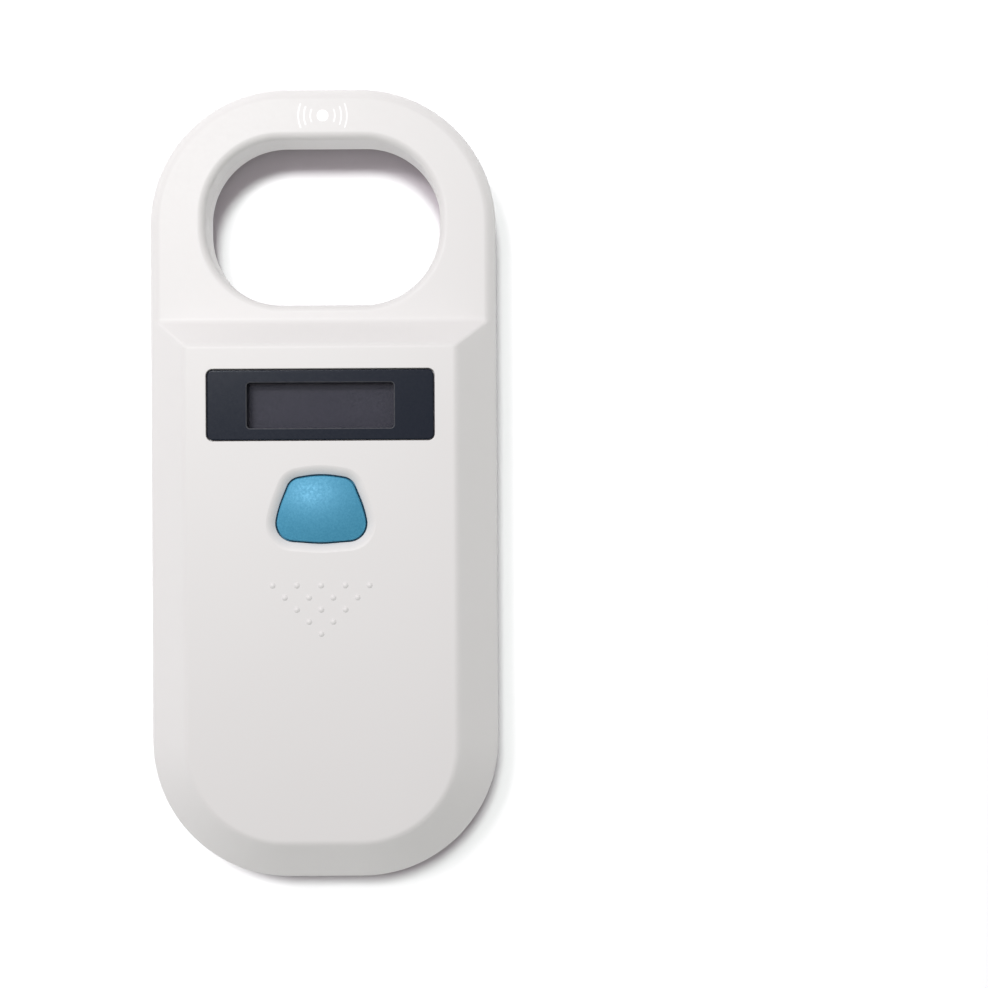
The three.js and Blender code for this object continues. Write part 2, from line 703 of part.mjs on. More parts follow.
// A pan-head screw that points up, with a cross recess in its head.
function screw([x, y], headZ, headRadius, headHeight, shankRadius, tipZ) {
  const body = turned(x, y, [
    [0, headZ],
    [headRadius * 0.8, headZ],
    [headRadius, headZ + headHeight * 0.4],
    [headRadius, headZ + headHeight],
    [shankRadius, headZ + headHeight],
    [shankRadius, tipZ - 1],
    [shankRadius * 0.4, tipZ],
    [0, tipZ],
  ], 12);
  const slot = [headZ - 1, headZ + headHeight * 0.55];
  const arm = headRadius * 1.1;
  return cut(body, block(x, y, arm, 0.5, slot), block(x, y, 0.5, arm, slot));
}

const ratingLabel = () => plate(roundRect(LABEL, 0, 4), 0.08, LABEL_RECESS - 0.02);

// ---------------------------------------------------------------- assembly

const scanner = new THREE.Group();

function add(name, body, finish) {
  const mesh = new THREE.Mesh(geometryOf(body), finish);
  mesh.name = name;
  scanner.add(mesh);
}

const outer = cut(outerForm(), ringHole());
const space = cavity();

add("front_shell", frontShell(outer, space), WHITE_ABS);
add("rear_shell", rearShell(outer, space), WHITE_ABS);
add("rating_label", ratingLabel(), LABEL_FILM);
CASE_SCREWS.forEach((place, i) =>
  add(`case_screw_${i + 1}`, screw(place, 1.3, 2.2, 1.85, 1.15, 13.6), STEEL));

add("display_lens", displayLens(), CLEAR_ACRYLIC);
add("display_bezel", displayBezel(), BLACK_PLASTIC);
add("display_gasket", displayGasket(), FOAM);
add("oled_panel", block(OLED.x, OLED.y, OLED.w, OLED.l, OLED.z), OLED_GLASS);
add("oled_foam_pad", block(-1.5, OLED.y, 22, 9, [BOARD_Z[1] + 0.03, OLED.z[0] - 0.03]), FOAM);
add("oled_flex_cable", oledFlex(), AMBER_FILM);

add("scan_button", scanButton(), BLUE_ABS);
add("switch_plunger", switchPlunger(), BLACK_PLASTIC);
add("switch_base", switchBase(), BLACK_PLASTIC);
add("switch_cover", switchCover(), STEEL);

add("main_board", mainBoard(), BOARD_GREEN);
BOARD_SCREWS.forEach((place, i) =>
  add(`board_screw_${i + 1}`, screw(place, 7.6, 1.7, 1.1, 0.85, 14.8), STEEL));
add("controller_chip", chip(0, -28, 7, 7, 1.4, 8), CHIP_BLACK);
add("reader_chip", chip(-11.5, -27.5, 3.9, 9.9, 1.6, 8), CHIP_BLACK);
add("memory_chip", chip(10.5, -31, 3.9, 4.9, 1.6, 4), CHIP_BLACK);
add("charger_chip", chip(-11.5, -57, 3.9, 4.9, 1.6, 4), CHIP_BLACK);
add("crystal", crystal(), STEEL);
add("tuning_capacitor", filmCapacitor(), RED_WIRE);
add("bulk_capacitor", bulkCapacitor(), FOIL);
add("power_inductor", powerInductor(), CHIP_BLACK);
add("buzzer", buzzer(), BLACK_PLASTIC);
add("radio_board", radioBoard(), BOARD_GREEN);
add("radio_chip", radioChip(), CHIP_BLACK);

add("usb_shell", usbShell(), STEEL);
add("usb_tongue", usbTongue(), BLACK_PLASTIC);

add("battery_cell", batteryCell(), FOIL);
add("battery_tape", batteryTape(), FOAM);
add("cell_guard_board", cellGuardBoard(), BOARD_GREEN);
add("battery_wire_red", batteryWire(-1), RED_WIRE);
add("battery_wire_black", batteryWire(1), BLACK_WIRE);
add("battery_plug", batteryPlug(), CREAM_NYLON);
add("battery_header", batteryHeader(), CREAM_NYLON);

add("coil_former", coilFormer(), BLACK_PLASTIC);
add("reader_coil", readerCoil(), COPPER);
add("coil_lead_left", coilLead(-1), COPPER);
add("coil_lead_right", coilLead(1), COPPER);

export default scanner;
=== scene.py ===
"""A handheld animal microchip scanner lying on its back, seen from straight above.

Sizes are in millimetres in the CAD's frame: X across, +Y towards the reading ring, +Z out of the front
face, origin at the centre of the back. Meshes are turned into metres when they are made.
"""

import math

import bpy
import numpy as np
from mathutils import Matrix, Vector
from mathutils.geometry import delaunay_2d_cdt


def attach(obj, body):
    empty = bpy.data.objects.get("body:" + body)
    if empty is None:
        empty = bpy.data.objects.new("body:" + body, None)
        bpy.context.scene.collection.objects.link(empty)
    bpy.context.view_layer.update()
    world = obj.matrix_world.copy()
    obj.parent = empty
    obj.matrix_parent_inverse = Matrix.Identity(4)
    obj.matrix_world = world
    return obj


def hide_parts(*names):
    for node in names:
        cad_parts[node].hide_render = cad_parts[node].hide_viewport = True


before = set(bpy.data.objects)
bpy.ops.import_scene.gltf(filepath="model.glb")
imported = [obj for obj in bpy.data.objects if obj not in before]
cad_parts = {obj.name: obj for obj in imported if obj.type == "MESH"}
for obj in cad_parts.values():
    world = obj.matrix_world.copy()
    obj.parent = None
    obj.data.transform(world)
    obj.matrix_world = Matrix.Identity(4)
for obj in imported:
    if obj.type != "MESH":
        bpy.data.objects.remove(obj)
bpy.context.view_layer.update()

MM = 0.001

# ---------------------------------------------------------------- sizes of the housing

HALF_WIDTH = 31.75
HALF_LENGTH = 72.3
THICKNESS = 18.0
CORNER_RADIUS = 25.0
BEVEL_FOOT_Z = 12.0
BEVEL_INSET = 7.24
BEVEL_SLOPE = (THICKNESS - BEVEL_FOOT_Z) / BEVEL_INSET
BEVEL_ANGLE = math.atan(BEVEL_SLOPE)
FOOT_ROUND = 1.2
FOOT_INSET = FOOT_ROUND * (1 - math.sin(BEVEL_ANGLE))
CREASE_REACH = 0.55
BACK_FILLET = 3.5

DECK_Z = 13.3
COVE_START_Y = 30.25
COVE_RADIUS = 1.8
COVE_ANGLE = math.radians(45)

# The shells meet in a seam: a groove round the outside and a hairline inside the ring's hole. Behind
# it the front shell's tongue reaches down into the rear shell's rebate.
SEAM_Z = 8.0
SEAM_GAP = 0.2
SEAM_HAIRLINE = 0.03
SEAM_CHAMFER = 0.13
SEAM_DEPTH = 0.4
REBATE_CLEARANCE = 0.04
TONGUE_DROP = 0.6
REBATE_DROP = 1.2

HOLE_HALF_WIDTH = 21.5
HOLE_HALF_HEIGHT = 15.15
HOLE_RADIUS = 14.05
HOLE_Y = 47.8
HOLE_FRONT_FILLET = 1.45
HOLE_BACK_FILLET = 5.0

POCKET_HALF_WIDTH = 20.6
POCKET_HALF_HEIGHT = 6.5
POCKET_RADIUS = 1.2
POCKET_EDGE_ROUND = 0.15
POCKET_LEDGE = 1.0
DISPLAY_Y = 14.05
BEZEL_CLEARANCE = 0.2
BEZEL_EDGE_ROUND = 0.2
BEZEL_Z = (16.45, 17.9)
POCKET_FLOOR_Z = BEZEL_Z[0] - 0.05
POCKET_LEDGE_Z = BEZEL_Z[0] - 1.25
VIEW_HALF_WIDTH = 13.25
VIEW_HALF_HEIGHT = 4.1
VIEW_RADIUS = 0.6
VIEW_Y = 13.95
VIEW_CHAMFER_WIDTH = 0.19
VIEW_CHAMFER_DEPTH = 0.15
# Painted shade on the display panel: its base colour darkens along the left and top edges, where the bezel's
# shadow falls.
PANEL_SHADE_X = (-13.2, -11.8)
PANEL_SHADE_Y = (17.0, 16.7)
PANEL_SHADE_LEVEL = 0.5

BUTTON_CORNERS = [
    (8.7, -10.15, 3.1),
    (7.55, -4.6, 20),
    (5.45, 0.6, 2.5),
    (0, 1.5, 17),
    (-5.45, 0.6, 2.5),
    (-7.55, -4.6, 20),
    (-8.7, -10.15, 3.1),
    (0, -10.8, 22),
]
BUTTON_CENTRE_Y = -4.9
BUTTON_TOP_Z = 18.5
BUTTON_DOME_RADIUS = 30.0
BUTTON_DOME_SQUEEZE = 0.82
BUTTON_GAP = 0.3
BUTTON_EDGE_ROUND = 0.3
BUTTON_FLANGE = 1.2
BUTTON_FLANGE_Z = (14.6, 15.6)
BUTTON_OPENING_Z = 16
BUTTON_OPENING_LEDGE = 3
DISH_WIDTH = 1.6
DISH_DEPTH = 0.9

DOT_PITCH_X = 4.37
DOT_PITCH_Y = 2.18
DOT_TOP_Y = -18.5
DOT_ROWS = 5
DOT_RADIUS = 0.55
DOT_HEIGHT = 0.2

ICON_CENTRE = (0.2, 67.2)
ICON_DOT_RADIUS = 1.05
ICON_WAVES = [(2.26, 1.1), (3.42, 1.62), (4.46, 2.14)]
ICON_STROKE = 0.21
ICON_LIFT = 0.002
ICON_THICKNESS = 0.02

PORT_HALF_WIDTH = 4.3
PORT_HALF_HEIGHT = 1.75
PORT_RADIUS = 1.2
PORT_Z = 7.5
PORT_DEPTH = 2.0

CASE_SCREWS = [(24, 21), (-24, 21), (24, -50), (-24, -50)]
SCREW_POCKET_RADIUS = 2.5
SCREW_POCKET_Z = 3.2
SCREW_POCKET_CHAMFER = 0.3
SCREW_SEAT = 1.1
SCREW_HOLE_DEPTH = 4
LABEL_HALF_WIDTH = 19.0
LABEL_HALF_HEIGHT = 23.0
LABEL_RADIUS = 2.0
LABEL_Y = -15.0
LABEL_RECESS = 0.25
LABEL_CLEARANCE = 0.3

WELD_STEP = 2e-4

# The light and the camera, in metres.
TABLE_HALF_WIDTH = 3.0
KEY_PLACE = (-0.25, 0.34, 1.0)
KEY_AIM = (-0.075, 0.08, 0)
KEY_POWER = 0.405
KEY_SIZE = 0.17
KEY_SPREAD = math.radians(46)
WASH_PLACE = (-0.03, 0.33, 1.0)
WASH_STRENGTH = 4.0
WASH_COLOUR = (0.88, 1.0, 0.91)
WASH_ANGLE = math.radians(11)
ROOM_LEAN = (-0.12, 0.19, 0.365)
ROOM_LEVEL = 0.25
ROOM_TINTS = [(0.3, (0.92, 1.0, 0.9, 1)), (0.58, (1.0, 0.93, 0.965, 1))]
WALL_COLOUR = (0.86, 0.86, 0.87, 1)
CAMERA_PLACE = (0.0312, -0.0022, 0.3)
CAMERA_ROLL = math.radians(-0.3)
CAMERA_LENS = 57.1
CAMERA_SENSOR = 36

# ---------------------------------------------------------------- outlines


class Outline:
    """A closed curve, counter-clockwise, as points and outward normals, so that it can be grown."""

    def __init__(self, points, normals):
        self.points = np.array(points, float)
        self.normals = np.array(normals, float)

    def at(self, grow):
        return self.points + np.reshape(grow, (-1, 1)) * self.normals


def compass(angle):
    return np.array([math.cos(angle), math.sin(angle)])


def circle(x, y, radius, steps=24):
    normals = [compass(2 * math.pi * i / steps) for i in range(steps)]
    return Outline([np.array([x, y]) + radius * n for n in normals], normals)


def round_rect(half_w, half_h, radius, y=0.0, steps=8, sides=((), (), (), ())):
    """sides holds extra stops along the top, left, bottom and right sides, as X or Y values."""
    points, normals = [], []
    for corner, (side_x, side_y) in enumerate([(1, 1), (-1, 1), (-1, -1), (1, -1)]):
        centre = np.array([side_x * (half_w - radius), y + side_y * (half_h - radius)])
        for step in range(steps + 1):
            normal = compass((corner + step / steps) * math.pi / 2)
            points.append(centre + radius * normal)
            normals.append(normal)
        outward = compass((corner + 1) * math.pi / 2)
        across = corner % 2 == 0
        falling = corner < 2
        for stop in sorted(sides[corner], reverse=falling):
            on_side = [stop, y + side_y * half_h] if across else [side_x * half_w, stop]
            points.append(on_side)
            normals.append(outward)
    return Outline(points, normals)


def round_polygon(corners, steps=10):
    """A convex outline with an own radius at each corner (x, y, radius)."""
    points, normals = [], []
    for i, (x, y, radius) in enumerate(corners):
        corner = np.array([x, y], float)
        before = np.array(corners[i - 1][:2], float)
        after = np.array(corners[(i + 1) % len(corners)][:2], float)
        along = (corner - before) / np.linalg.norm(corner - before)
        away = (after - corner) / np.linalg.norm(after - corner)
        turn = math.acos(float(along @ away))
        inward = np.array([-along[1], along[0]])
        centre = corner - along * radius * math.tan(turn / 2) + inward * radius
        start = math.atan2(-inward[1], -inward[0])
        for step in range(steps + 1):
            normal = compass(start + turn * step / steps)
            points.append(centre + radius * normal)
            normals.append(normal)
    return Outline(points, normals)


# ---------------------------------------------------------------- meshes


class Skin:
    """Faces with a normal at every corner, welded into one mesh when it is made."""

    def __init__(self):
        self.points = []
        self.normals = []
        self.faces = []
        self.count = 0

    def add(self, points, normals, faces, finish=0):
        self.points.append(points)
        self.normals.append(np.broadcast_to(normals, points.shape))
        self.faces += [(tuple(i + self.count for i in face), finish) for face in faces]
        self.count += len(points)

    def rings(self, rings, close=False, finish=0):
        """A band through rings of (points, normals); close adds a fan at the last ring's middle."""
        count = len(rings[0][0])
        points = [np.asarray(p, float) for p, _ in rings]
        normals = [np.broadcast_to(n, p.shape) for (_, n), p in zip(rings, points)]
        faces = [
            (a + i, a + (i + 1) % count, b + (i + 1) % count, b + i)
            for a, b in ((r * count, (r + 1) * count) for r in range(len(rings) - 1))
            for i in range(count)
        ]
        if close:
            tip, last = len(rings) * count, (len(rings) - 1) * count
            points.append(points[-1].mean(0, keepdims=True))
            middle = normals[-1].mean(0, keepdims=True)
            normals.append(middle / np.linalg.norm(middle))
            faces += [(last + i, last + (i + 1) % count, tip) for i in range(count)]
        self.add(np.concatenate(points), np.concatenate(normals), faces, finish)

    def loft(self, outline, *bands, close=False, finish=0):
        """Each band is a list of rows (grow, z, tilt). A tilt of 0 faces straight out of the outline and
        90 straight up. Bands that meet share a place, and the turn between their tilts is a sharp edge."""
        for band in bands:
            rings = [ring(outline, grow, z, tilt) for grow, z, tilt in band]
            self.rings(rings, close=close and band is bands[-1], finish=finish)

    def patch(self, border, holes=(), lines=(), height=None, z=0.0, up=1, finish=0):
        """The area between the border and the holes, flat at z or raised to height(x, y)."""
        flat, triangles = triangulate([border, *holes], lines)
        middles = flat[triangles].mean(1)
        keep = inside(border, middles)
        for hole in holes:
            keep &= ~inside(hole, middles)
        used, faces = np.unique(triangles[keep], return_inverse=True)
        flat, faces = flat[used], faces.reshape(-1, 3)
        if height is None:
            heights, normals = np.full(len(flat), z), np.array([0, 0, up], float)
        else:
            heights, normals = height(*flat.T), slope_normals(height, flat)
        self.add(np.column_stack([flat, heights]), normals, faces.tolist(), finish)

    def make(self, name, body, materials, *replaced, slot=None):
        """Welds the points, turns each face to its normals' side, and makes the piece."""
        points = np.concatenate(self.points)
        normals = np.concatenate(self.normals)
        _, first, weld = np.unique(
            np.round(points / WELD_STEP), axis=0, return_index=True, return_inverse=True
        )
        weld = weld.reshape(-1)
        faces, finishes, corner_normals = [], [], []
        for face, finish in self.faces:
            corners = [c for i, c in enumerate(face) if weld[c] != weld[face[i - 1]]]
            if len(corners) < 3:
                continue
            a, b, c = points[corners[0]], points[corners[1]], points[corners[2]]
            facing = np.cross(b - a, c - b)
            if len(corners) == 4:
                facing = facing + np.cross(c - b, points[corners[3]] - c)
            if facing @ sum(normals[i] for i in corners) < 0:
                corners.reverse()
            faces.append([int(weld[i]) for i in corners])
            finishes.append(finish)
            corner_normals += [normals[i] for i in corners]
        mesh = bpy.data.meshes.new(name)
        mesh.from_pydata((points[first] * MM).tolist(), [], faces)
        for material in materials if isinstance(materials, list) else [materials]:
            mesh.materials.append(material)
        mesh.polygons.foreach_set("material_index", finishes)
        mesh.polygons.foreach_set("use_smooth", [True] * len(faces))
        mesh.normals_split_custom_set([n.tolist() for n in corner_normals])
        piece = bpy.data.objects.new(name, mesh)
        bpy.context.scene.collection.objects.link(piece)
        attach(piece, body)
        if replaced:
            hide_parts(*replaced)
        return piece


def ring(outline, grow, z, tilt):
    flat = outline.at(grow)
    heights = np.broadcast_to(z, len(flat))
    lean = math.radians(tilt)
    rise = np.full(len(flat), math.sin(lean))
    normals = np.column_stack([outline.normals * math.cos(lean), rise])
    return np.column_stack([flat, heights]), normals


def arc(grow, z, radius, start, stop, steps):
    """Rows of a rounded edge about the centre (grow, z); its normals turn from start to stop."""
    tilts = [start + (stop - start) * i / steps for i in range(steps + 1)]
    return [
        (grow + radius * math.cos(math.radians(t)), z + radius * math.sin(math.radians(t)), t)
        for t in tilts
    ]


def triangulate(loops, lines):
    """Triangles over closed loops and open lines, which may cross."""
    points, edges = [], []
    for path, closed in [(loop, True) for loop in loops] + [(line, False) for line in lines]:
        first, count = len(points), len(path)
        points += [(float(x), float(y)) for x, y in path]
        edges += [(first + i, first + i + 1) for i in range(count - 1)]
        if closed:
            edges.append((first + count - 1, first))
    verts, _, faces, *_ = delaunay_2d_cdt(points, edges, [], 0, 1e-6, False)
    return np.array([tuple(v) for v in verts]), np.array(faces)


def inside(polygon, points):
    """Which points lie inside a closed polygon."""
    x, y = points.T
    result = np.zeros(len(points), bool)
    for (x0, y0), (x1, y1) in zip(polygon, np.roll(polygon, -1, axis=0)):
        if y0 != y1:
            result ^= ((y0 > y) != (y1 > y)) & (x < (x1 - x0) * (y - y0) / (y1 - y0) + x0)
    return result


def slope_normals(height, flat, reach=0.02):
    x, y = flat.T
    slope_x = (height(x + reach, y) - height(x - reach, y)) / (2 * reach)
    slope_y = (height(x, y + reach) - height(x, y - reach)) / (2 * reach)
    normals = np.column_stack([-slope_x, -slope_y, np.ones(len(x))])
    return normals / np.linalg.norm(normals, axis=1, keepdims=True)


# ---------------------------------------------------------------- node materials


class Nodes:
    """A short way to write a material's nodes: places are in object space, in metres."""

    # The length of one band of the wave texture at scale 1.
    WAVE_LENGTH = 0.314

    def __init__(self, name):
        self.material = bpy.data.materials.new(name)
        self.material.use_nodes = True
        self.tree = self.material.node_tree
        self.shader = self.tree.nodes["Principled BSDF"]
        self.place = self.tree.nodes.new("ShaderNodeTexCoord").outputs["Object"]

    def link(self, source, target):
        self.tree.links.new(source, target)
        return self

    def set(self, **values):
        for name, value in values.items():
            self.shader.inputs[name.replace("_", " ")].default_value = value
        return self

    def noise(self, size_mm, detail=2.0, roughness=0.5):
        node = self.tree.nodes.new("ShaderNodeTexNoise")
        node.inputs["Scale"].default_value = 1 / (size_mm * MM)
        node.inputs["Detail"].default_value = detail
        node.inputs["Roughness"].default_value = roughness
        self.link(self.place, node.inputs["Vector"])
        return node.outputs["Fac"]

    def cells(self, size_mm):
        node = self.tree.nodes.new("ShaderNodeTexVoronoi")
        node.inputs["Scale"].default_value = 1 / (size_mm * MM)
        self.link(self.place, node.inputs["Vector"])
        return node.outputs["Distance"]

    def waves(self, size_mm, direction):
        node = self.tree.nodes.new("ShaderNodeTexWave")
        node.bands_direction = direction
        node.inputs["Scale"].default_value = self.WAVE_LENGTH / (size_mm * MM)
        self.link(self.place, node.inputs["Vector"])
        return node.outputs["Fac"]

    def step(self, axis, start_mm, stop_mm):
        """Rises from 0 at start_mm to 1 at stop_mm along an axis."""
        split = self.tree.nodes.new("ShaderNodeSeparateXYZ")
        node = self.tree.nodes.new("ShaderNodeMapRange")
        node.inputs["From Min"].default_value = start_mm * MM
        node.inputs["From Max"].default_value = stop_mm * MM
        self.link(self.place, split.inputs[0])
        self.link(split.outputs[axis], node.inputs["Value"])
        return node.outputs["Result"]

    def paint_shade(self, lit, least):
        """Paints shade: scales the base colour down to least where the steps in lit are 0."""
        for value in lit:
            share = self.tree.nodes.new("ShaderNodeMapRange")
            share.inputs["To Min"].default_value = least
            scale = self.tree.nodes.new("ShaderNodeVectorMath")
            scale.operation = "SCALE"
            earlier = self.shader.inputs["Base Color"].links[0].from_socket
            self.link(value, share.inputs["Value"])
            self.link(earlier, scale.inputs[0])
            self.link(share.outputs["Result"], scale.inputs["Scale"])
            self.link(scale.outputs["Vector"], self.shader.inputs["Base Color"])
        return self

    def ramp(self, factor, low, high, low_value, high_value):
        """factor from low to high becomes a value or a colour from low_value to high_value."""
        node = self.tree.nodes.new("ShaderNodeValToRGB")
        for element, place, value in zip(
            node.color_ramp.elements, (low, high), (low_value, high_value)
        ):
            element.position = place
            element.color = colour(value)
        self.link(factor, node.inputs["Fac"])
        return node.outputs["Color"]

    def bump(self, height, strength, distance_mm):
        node = self.tree.nodes.new("ShaderNodeBump")
        node.inputs["Strength"].default_value = strength
        node.inputs["Distance"].default_value = distance_mm * MM
        self.link(height, node.inputs["Height"])
        if self.shader.inputs["Normal"].is_linked:
            earlier = self.shader.inputs["Normal"].links[0].from_socket
            self.link(earlier, node.inputs["Normal"])
        return self.link(node.outputs["Normal"], self.shader.inputs["Normal"])

    def base(self, factor, low, high, low_value, high_value):
        return self.link(
            self.ramp(factor, low, high, low_value, high_value), self.shader.inputs["Base Color"]
        )

    def rough(self, factor, low_value, high_value):
        return self.link(
            self.ramp(factor, 0.3, 0.7, low_value, high_value), self.shader.inputs["Roughness"]
        )


def colour(value):
    return (value,) * 3 + (1,) if isinstance(value, (int, float)) else (*value, 1)


def white_abs():
    """Moulded ABS with a fine spark-eroded texture."""
    n = Nodes("white_abs").set(Specular_IOR_Level=0.5)
    n.base(n.noise(40, 2), 0.3, 0.7, (0.823, 0.816, 0.807), (0.835, 0.828, 0.820))
    n.rough(n.noise(0.6, 3), 0.44, 0.5)
    return n.bump(n.noise(0.16, 2, 0.6), 0.14, 0.02).material


def blue_abs():
    """Pearl blue cap: small flakes lighten the colour and roughen the highlight."""
    n = Nodes("blue_abs").set(Specular_IOR_Level=0.55, Metallic=0.18)
    n.base(n.noise(0.35, 3, 0.7), 0.35, 0.72, (0.045, 0.285, 0.46), (0.075, 0.36, 0.55))
    n.rough(n.noise(0.5, 2), 0.42, 0.54)
    return n.bump(n.noise(0.3, 3, 0.6), 0.3, 0.03).material


def bezel_black():
    """The polished plate round the display."""
    n = Nodes("bezel_black").set(Specular_IOR_Level=0.25)
    n.base(n.noise(0.25, 2), 0.3, 0.7, (0.004, 0.009, 0.020), (0.006, 0.011, 0.023))
    n.rough(n.noise(0.4, 2), 0.2, 0.24)
    return n.bump(n.noise(0.3, 2), 0.02, 0.01).material


def cut_edge():
    """The cut edge round the view opening is frosted, and lighter than the polished face."""
    n = Nodes("cut_edge").set(Specular_IOR_Level=0.5)
    n.base(n.noise(0.5, 3), 0.3, 0.7, (0.06, 0.063, 0.077), (0.1, 0.103, 0.115))
    n.rough(n.noise(0.4, 2), 0.32, 0.42)
    return n.bump(n.noise(0.15, 2), 0.2, 0.01).material


def clear_acrylic():
    """The lens, slightly smoked."""
    n = Nodes("clear_acrylic").set(Alpha=0.3, IOR=1.49)
    n.base(n.noise(12), 0.3, 0.7, (0.055, 0.06, 0.085), (0.065, 0.07, 0.095))
    return n.rough(n.noise(3), 0.03, 0.06).material


def panel_glass():
    """The display panel, switched off: a grey active area, with painted shade at its left and top edges."""
    n = Nodes("panel_glass").set(Specular_IOR_Level=0.5)
    n.base(n.noise(0.3, 3, 0.7), 0.3, 0.7, (0.03, 0.028, 0.046), (0.09, 0.083, 0.12))
    n.rough(n.noise(0.4), 0.22, 0.26)
    # Painted shade: the base colour darkens towards the left and top edges, under the bezel's shadow.
    n.paint_shade([n.step("X", *PANEL_SHADE_X), n.step("Y", *PANEL_SHADE_Y)], PANEL_SHADE_LEVEL)
    return n.bump(n.noise(0.175), 0.05, 0.005).material


def print_white():
    n = Nodes("print_white").set(Specular_IOR_Level=0.5)
    n.base(n.noise(0.5), 0.3, 0.7, (0.98, 0.98, 0.98), (1.0, 1.0, 1.0))
    n.rough(n.noise(0.5), 0.25, 0.35)
    return n.bump(n.noise(0.1), 0.1, 0.005).material


def satin_plastic(name, dark, light, roughness=(0.4, 0.55), grain=0.15):
    n = Nodes(name)
    n.base(n.noise(2.5, 3), 0.3, 0.7, dark, light)
    n.rough(n.noise(0.8, 3), *roughness)
    return n.bump(n.noise(grain, 2), 0.15, 0.02).material


def foam():
    n = Nodes("foam")
    n.base(n.cells(0.35), 0.1, 0.6, (0.006, 0.006, 0.007), (0.03, 0.03, 0.034))
    n.rough(n.noise(0.5), 0.85, 0.98)
    return n.bump(n.cells(0.35), 0.8, 0.15).material


def board_green():
    """Solder mask over copper: broad pours and thin traces show as lighter, raised areas."""
    n = Nodes("board_green").set(Coat_Weight=0.4)
    n.base(n.waves(1.1, "DIAGONAL"), 0.45, 0.55, (0.008, 0.085, 0.04), (0.02, 0.17, 0.08))
    n.rough(n.noise(0.6, 3), 0.3, 0.45)
    n.bump(n.waves(1.1, "DIAGONAL"), 0.3, 0.03)
    return n.bump(n.cells(0.5), 0.15, 0.02).material


def plated_steel():
    n = Nodes("plated_steel").set(Metallic=1.0)
    n.base(n.noise(1.2, 3), 0.3, 0.7, (0.52, 0.52, 0.53), (0.66, 0.66, 0.67))
    n.rough(n.noise(0.4, 3), 0.24, 0.4)
    return n.bump(n.waves(0.12, "Z"), 0.08, 0.01).material


def copper_wire():
    """Enamelled copper, wound side by side."""
    n = Nodes("copper_wire").set(Metallic=1.0, Coat_Weight=0.5)
    n.base(n.noise(0.8, 3), 0.3, 0.7, (0.42, 0.14, 0.045), (0.6, 0.24, 0.08))
    n.rough(n.noise(0.5), 0.25, 0.4)
    return n.bump(n.waves(0.32, "Z"), 0.8, 0.12).material


def foil_pouch():
    n = Nodes("foil_pouch").set(Metallic=0.8)
    n.base(n.noise(5, 3), 0.3, 0.7, (0.5, 0.51, 0.53), (0.64, 0.65, 0.67))
    n.rough(n.noise(1.5, 3), 0.35, 0.5)
    return n.bump(n.noise(3, 3), 0.3, 0.12).material


def amber_film():
    """Polyimide with copper lines under it."""
    n = Nodes("amber_film").set(Coat_Weight=0.5)
    n.base(n.waves(0.6, "Y"), 0.4, 0.6, (0.34, 0.12, 0.02), (0.55, 0.24, 0.05))
    n.rough(n.noise(0.6), 0.22, 0.34)
    return n.bump(n.waves(0.6, "Y"), 0.3, 0.03).material


def label_film():
    n = Nodes("label_film")
    n.base(n.noise(6, 3), 0.3, 0.7, (0.6, 0.61, 0.63), (0.66, 0.67, 0.69))
    n.rough(n.noise(0.7, 3), 0.3, 0.42)
    return n.bump(n.noise(0.3), 0.1, 0.01).material


def table_top():
    n = Nodes("table_top").set(Specular_IOR_Level=0.0, Roughness=1.0)
    return n.base(n.noise(60, 2), 0.3, 0.7, (0.565, 0.525, 0.56), (0.575, 0.535, 0.57)).material


# ---------------------------------------------------------------- the front face's form


def edge_inset(x, y):
    """How far inside the housing's outline a point lies."""
    past_x = np.abs(x) - (HALF_WIDTH - CORNER_RADIUS)
    past_y = np.abs(y) - (HALF_LENGTH - CORNER_RADIUS)
    corner = np.hypot(np.maximum(past_x, 0), np.maximum(past_y, 0))
    return CORNER_RADIUS - corner - np.minimum(np.maximum(past_x, past_y), 0)


def smooth_min(a, b, reach):
    share = np.clip(0.5 + 0.5 * (b - a) / reach, 0, 1)
    return b + (a - b) * share - reach * share * (1 - share)


def cove_height(y):
    """The deck of the ring, the cove and the straight slope up to the handle."""
    run = COVE_START_Y - y
    arc_run = COVE_RADIUS * math.sin(COVE_ANGLE)
    along = np.clip(run, 0, arc_run)
    cove = COVE_RADIUS - np.sqrt(COVE_RADIUS**2 - along**2)
    return DECK_Z + cove + np.maximum(run - arc_run, 0) * math.tan(COVE_ANGLE)


def front_height(x, y):
    bevel = BEVEL_FOOT_Z + BEVEL_SLOPE * edge_inset(x, y)
    handle = smooth_min(THICKNESS, bevel, CREASE_REACH)
    return smooth_min(handle, cove_height(y), CREASE_REACH)


def button_height(x, y):
    reach = np.hypot(x, (y - BUTTON_CENTRE_Y) / BUTTON_DOME_SQUEEZE)
    return BUTTON_TOP_Z - BUTTON_DOME_RADIUS + np.sqrt(BUTTON_DOME_RADIUS**2 - reach**2)


# ---------------------------------------------------------------- outlines of this object

# Y stops across the cove, and across the crest where its slope meets the handle's face.
COVE_LINES = [COVE_START_Y + 0.45 - 0.15 * i for i in range(15)]
CREST_LINES = [25.6 - 0.14 * i for i in range(13)]

# Insets of the lines along the bevel's foot, and along its top, which ends at BEVEL_END_Y.
FOOT_INSETS = np.arange(0.8, 2.4, 0.16)
TOP_INSETS = np.arange(6.5, 8.0, 0.18)
BEVEL_END_Y = 33

# Lines beside the corner where the bevel meets the cove and its slope.
CORNER_SHIFTS = np.arange(-0.6, 0.7, 0.15)
CORNER_STEP = 0.25

# X stops along the port's rounded outline.
PORT_STOPS = [0, 1.5, 3.1, 3.4, 3.65, 3.85, 4.0, 4.12, 4.2, 4.26, 4.3, 4.31, 5.5]


